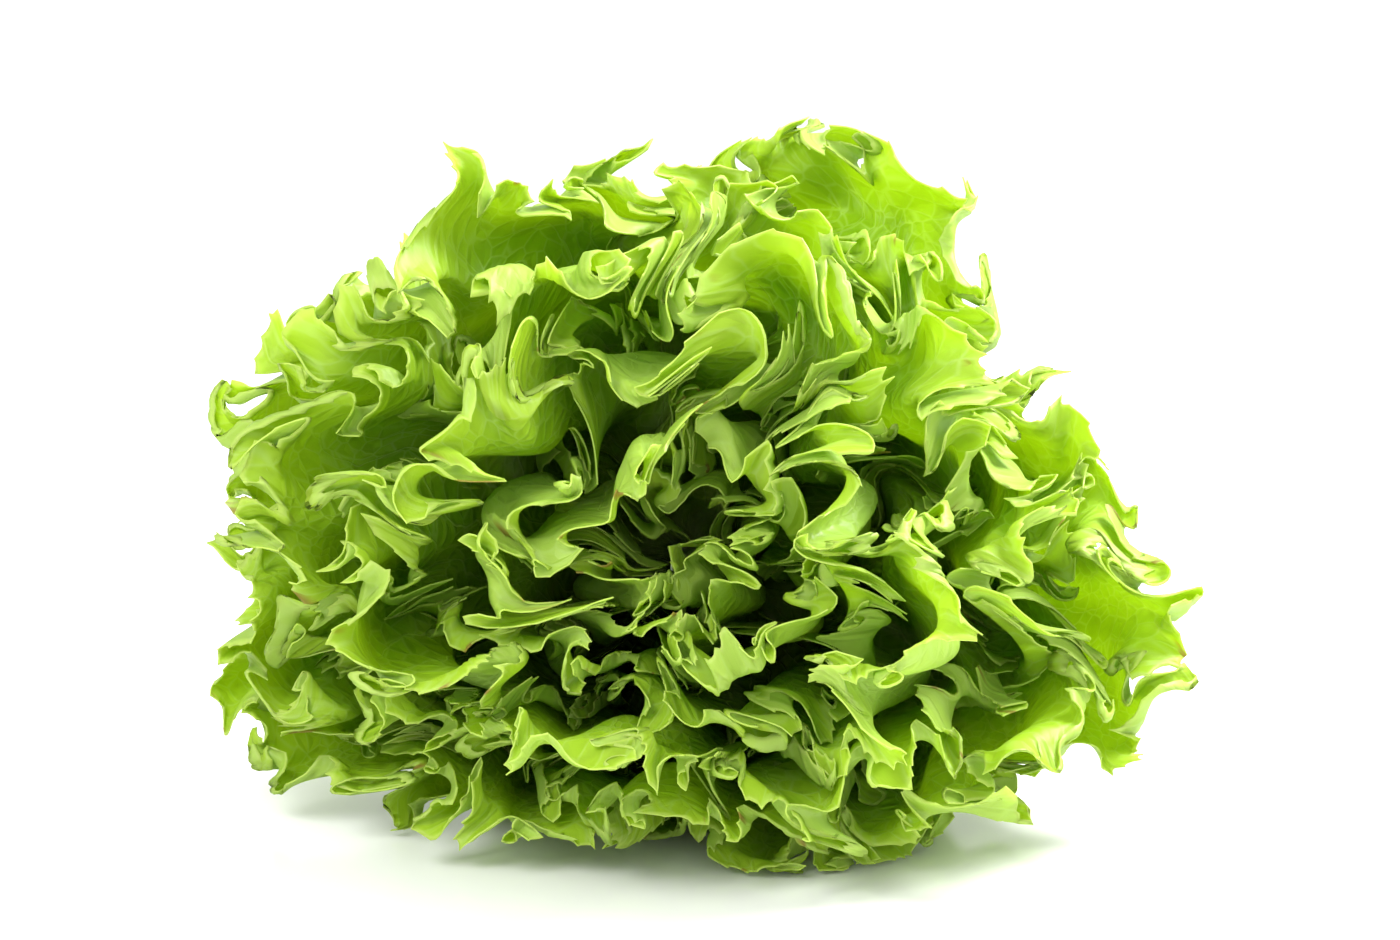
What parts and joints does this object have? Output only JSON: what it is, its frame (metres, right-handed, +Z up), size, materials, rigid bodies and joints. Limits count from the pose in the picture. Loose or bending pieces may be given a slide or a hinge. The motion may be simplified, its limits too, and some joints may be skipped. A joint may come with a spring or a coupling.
{
  "type": "head of curly green leaf lettuce",
  "caption": "Head of curly green leaf lettuce lying on its side: frilled leaves wrap round a short cut stem and open into a wide ruffled face.",
  "frame": {"origin": "on the surface the head lies on, below the middle of its bounding box", "axes": "+Z up from the surface, +X to the right across the ruffled face, +Y from the face towards the cut stem at the back"},
  "size_m": [0.3002, 0.2074, 0.2153],
  "materials": {
    "stem": "matte, moist plant tissue, browned at the cut",
    "heart_leaf": "satin leaf, pale yellow-green",
    "inner_leaf": "satin leaf, bright green",
    "middle_leaf": "satin leaf, mid green",
    "outer_leaf": "satin leaf, mid green with a paler back"
  },
  "bodies": {
    "root": {"stem": "stem", "heart_leaf_01": "heart_leaf", "heart_leaf_02": "heart_leaf", "heart_leaf_03": "heart_leaf", "heart_leaf_04": "heart_leaf", "heart_leaf_05": "heart_leaf", "inner_leaf_06": "inner_leaf", "inner_leaf_07": "inner_leaf", "inner_leaf_08": "inner_leaf", "inner_leaf_09": "inner_leaf", "inner_leaf_10": "inner_leaf", "inner_leaf_11": "inner_leaf", "inner_leaf_12": "inner_leaf", "inner_leaf_13": "inner_leaf", "middle_leaf_14": "middle_leaf", "middle_leaf_15": "middle_leaf", "middle_leaf_16": "middle_leaf", "middle_leaf_17": "middle_leaf", "middle_leaf_18": "middle_leaf", "middle_leaf_19": "middle_leaf", "middle_leaf_20": "middle_leaf", "middle_leaf_21": "middle_leaf", "middle_leaf_22": "middle_leaf", "middle_leaf_23": "middle_leaf", "middle_leaf_24": "middle_leaf", "outer_leaf_25": "outer_leaf", "outer_leaf_26": "outer_leaf", "outer_leaf_27": "outer_leaf", "outer_leaf_28": "outer_leaf", "outer_leaf_29": "outer_leaf", "outer_leaf_30": "outer_leaf", "outer_leaf_31": "outer_leaf", "outer_leaf_32": "outer_leaf", "outer_leaf_33": "outer_leaf", "outer_leaf_34": "outer_leaf", "outer_leaf_35": "outer_leaf", "outer_leaf_36": "outer_leaf", "outer_leaf_37": "outer_leaf", "outer_leaf_38": "outer_leaf"}
  },
  "joints": []
}
